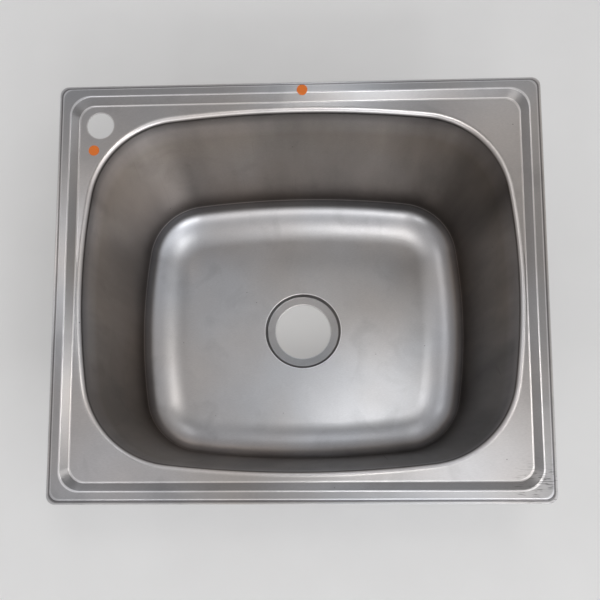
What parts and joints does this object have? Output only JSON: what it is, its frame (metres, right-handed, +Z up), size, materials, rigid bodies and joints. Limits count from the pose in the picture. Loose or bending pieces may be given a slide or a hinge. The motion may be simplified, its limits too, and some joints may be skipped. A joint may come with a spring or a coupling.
{
  "type": "inset laundry tub",
  "caption": "Deep rectangular stainless inset tub with bowed sides, stepped worktop rim, tap hole, central drain hole and swing-out worktop clamps.",
  "frame": {"origin": "centre of the drain hole on the underside of its recess, which is the face the tub stands on and the middle of its outline", "axes": "+X to the right, +Y to the back where the tap hole is, +Z up; the plate is longest along X"},
  "size_m": [0.63, 0.55, 0.2489],
  "materials": {
    "tub_steel": "satin brushed stainless sheet",
    "seal_foam": "black closed cell foam tape",
    "pad_rubber": "dull black rubber sheet",
    "marker_paper": "orange paper dot",
    "bracket_steel": "plain stainless strip",
    "washer_zinc": "zinc plated steel",
    "screw_zinc": "zinc plated steel",
    "claw_zinc": "zinc plated pressed steel"
  },
  "bodies": {
    "tub": {"tub_shell": "tub_steel", "seal_back": "seal_foam", "seal_left": "seal_foam", "seal_front": "seal_foam", "seal_right": "seal_foam", "floor_pad_left": "pad_rubber", "floor_pad_right": "pad_rubber", "side_pad_left": "pad_rubber", "side_pad_right": "pad_rubber", "marker_back": "marker_paper", "marker_tap": "marker_paper", "clip_bracket_right_front": "bracket_steel", "clip_bracket_right_back": "bracket_steel", "clip_bracket_back_right": "bracket_steel", "clip_bracket_back_left": "bracket_steel", "clip_bracket_left_back": "bracket_steel", "clip_bracket_left_front": "bracket_steel", "clip_bracket_front_left": "bracket_steel", "clip_bracket_front_right": "bracket_steel"},
    "lift_right_front": {"clip_washer_right_front": "washer_zinc"},
    "screw_right_front": {"clip_screw_right_front": "screw_zinc"},
    "claw_right_front": {"clip_claw_right_front": "claw_zinc"},
    "lift_right_back": {"clip_washer_right_back": "washer_zinc"},
    "screw_right_back": {"clip_screw_right_back": "screw_zinc"},
    "claw_right_back": {"clip_claw_right_back": "claw_zinc"},
    "lift_back_right": {"clip_washer_back_right": "washer_zinc"},
    "screw_back_right": {"clip_screw_back_right": "screw_zinc"},
    "claw_back_right": {"clip_claw_back_right": "claw_zinc"},
    "lift_back_left": {"clip_washer_back_left": "washer_zinc"},
    "screw_back_left": {"clip_screw_back_left": "screw_zinc"},
    "claw_back_left": {"clip_claw_back_left": "claw_zinc"},
    "lift_left_back": {"clip_washer_left_back": "washer_zinc"},
    "screw_left_back": {"clip_screw_left_back": "screw_zinc"},
    "claw_left_back": {"clip_claw_left_back": "claw_zinc"},
    "lift_left_front": {"clip_washer_left_front": "washer_zinc"},
    "screw_left_front": {"clip_screw_left_front": "screw_zinc"},
    "claw_left_front": {"clip_claw_left_front": "claw_zinc"},
    "lift_front_left": {"clip_washer_front_left": "washer_zinc"},
    "screw_front_left": {"clip_screw_front_left": "screw_zinc"},
    "claw_front_left": {"clip_claw_front_left": "claw_zinc"},
    "lift_front_right": {"clip_washer_front_right": "washer_zinc"},
    "screw_front_right": {"clip_screw_front_right": "screw_zinc"},
    "claw_front_right": {"clip_claw_front_right": "claw_zinc"}
  },
  "joints": [
    {"name": "rise_right_front", "type": "slide", "parent": "tub", "child": "lift_right_front", "axis": [0, 0, 1], "range_m": [0, 0.022]},
    {"name": "turn_right_front", "type": "hinge", "parent": "lift_right_front", "child": "screw_right_front", "pos_m": [0.289, -0.15, 0.1995], "axis": [0, 0, 1], "range_deg": [0, 7920]},
    {"name": "swing_right_front", "type": "hinge", "parent": "lift_right_front", "child": "claw_right_front", "pos_m": [0.289, -0.15, 0.1995], "axis": [0, 0, 1], "range_deg": [0, 90]},
    {"name": "rise_right_back", "type": "slide", "parent": "tub", "child": "lift_right_back", "axis": [0, 0, 1], "range_m": [0, 0.022]},
    {"name": "turn_right_back", "type": "hinge", "parent": "lift_right_back", "child": "screw_right_back", "pos_m": [0.289, 0.15, 0.1995], "axis": [0, 0, 1], "range_deg": [0, 7920]},
    {"name": "swing_right_back", "type": "hinge", "parent": "lift_right_back", "child": "claw_right_back", "pos_m": [0.289, 0.15, 0.1995], "axis": [0, 0, 1], "range_deg": [0, 90]},
    {"name": "rise_back_right", "type": "slide", "parent": "tub", "child": "lift_back_right", "axis": [0, 0, 1], "range_m": [0, 0.022]},
    {"name": "turn_back_right", "type": "hinge", "parent": "lift_back_right", "child": "screw_back_right", "pos_m": [0.18, 0.249, 0.1995], "axis": [0, 0, 1], "range_deg": [0, 7920]},
    {"name": "swing_back_right", "type": "hinge", "parent": "lift_back_right", "child": "claw_back_right", "pos_m": [0.18, 0.249, 0.1995], "axis": [0, 0, 1], "range_deg": [0, 90]},
    {"name": "rise_back_left", "type": "slide", "parent": "tub", "child": "lift_back_left", "axis": [0, 0, 1], "range_m": [0, 0.022]},
    {"name": "turn_back_left", "type": "hinge", "parent": "lift_back_left", "child": "screw_back_left", "pos_m": [-0.18, 0.249, 0.1995], "axis": [0, 0, 1], "range_deg": [0, 7920]},
    {"name": "swing_back_left", "type": "hinge", "parent": "lift_back_left", "child": "claw_back_left", "pos_m": [-0.18, 0.249, 0.1995], "axis": [0, 0, 1], "range_deg": [0, 90]},
    {"name": "rise_left_back", "type": "slide", "parent": "tub", "child": "lift_left_back", "axis": [0, 0, 1], "range_m": [0, 0.022]},
    {"name": "turn_left_back", "type": "hinge", "parent": "lift_left_back", "child": "screw_left_back", "pos_m": [-0.289, 0.15, 0.1995], "axis": [0, 0, 1], "range_deg": [0, 7920]},
    {"name": "swing_left_back", "type": "hinge", "parent": "lift_left_back", "child": "claw_left_back", "pos_m": [-0.289, 0.15, 0.1995], "axis": [0, 0, 1], "range_deg": [0, 90]},
    {"name": "rise_left_front", "type": "slide", "parent": "tub", "child": "lift_left_front", "axis": [0, 0, 1], "range_m": [0, 0.022]},
    {"name": "turn_left_front", "type": "hinge", "parent": "lift_left_front", "child": "screw_left_front", "pos_m": [-0.289, -0.15, 0.1995], "axis": [0, 0, 1], "range_deg": [0, 7920]},
    {"name": "swing_left_front", "type": "hinge", "parent": "lift_left_front", "child": "claw_left_front", "pos_m": [-0.289, -0.15, 0.1995], "axis": [0, 0, 1], "range_deg": [0, 90]},
    {"name": "rise_front_left", "type": "slide", "parent": "tub", "child": "lift_front_left", "axis": [0, 0, 1], "range_m": [0, 0.022]},
    {"name": "turn_front_left", "type": "hinge", "parent": "lift_front_left", "child": "screw_front_left", "pos_m": [-0.18, -0.249, 0.1995], "axis": [0, 0, 1], "range_deg": [0, 7920]},
    {"name": "swing_front_left", "type": "hinge", "parent": "lift_front_left", "child": "claw_front_left", "pos_m": [-0.18, -0.249, 0.1995], "axis": [0, 0, 1], "range_deg": [0, 90]},
    {"name": "rise_front_right", "type": "slide", "parent": "tub", "child": "lift_front_right", "axis": [0, 0, 1], "range_m": [0, 0.022]},
    {"name": "turn_front_right", "type": "hinge", "parent": "lift_front_right", "child": "screw_front_right", "pos_m": [0.18, -0.249, 0.1995], "axis": [0, 0, 1], "range_deg": [0, 7920]},
    {"name": "swing_front_right", "type": "hinge", "parent": "lift_front_right", "child": "claw_front_right", "pos_m": [0.18, -0.249, 0.1995], "axis": [0, 0, 1], "range_deg": [0, 90]}
  ],
  "couplings": [
    {"joint": "turn_right_front", "follows": "rise_right_front", "rad_per_m": 6283.2},
    {"joint": "turn_right_back", "follows": "rise_right_back", "rad_per_m": 6283.2},
    {"joint": "turn_back_right", "follows": "rise_back_right", "rad_per_m": 6283.2},
    {"joint": "turn_back_left", "follows": "rise_back_left", "rad_per_m": 6283.2},
    {"joint": "turn_left_back", "follows": "rise_left_back", "rad_per_m": 6283.2},
    {"joint": "turn_left_front", "follows": "rise_left_front", "rad_per_m": 6283.2},
    {"joint": "turn_front_left", "follows": "rise_front_left", "rad_per_m": 6283.2},
    {"joint": "turn_front_right", "follows": "rise_front_right", "rad_per_m": 6283.2}
  ]
}
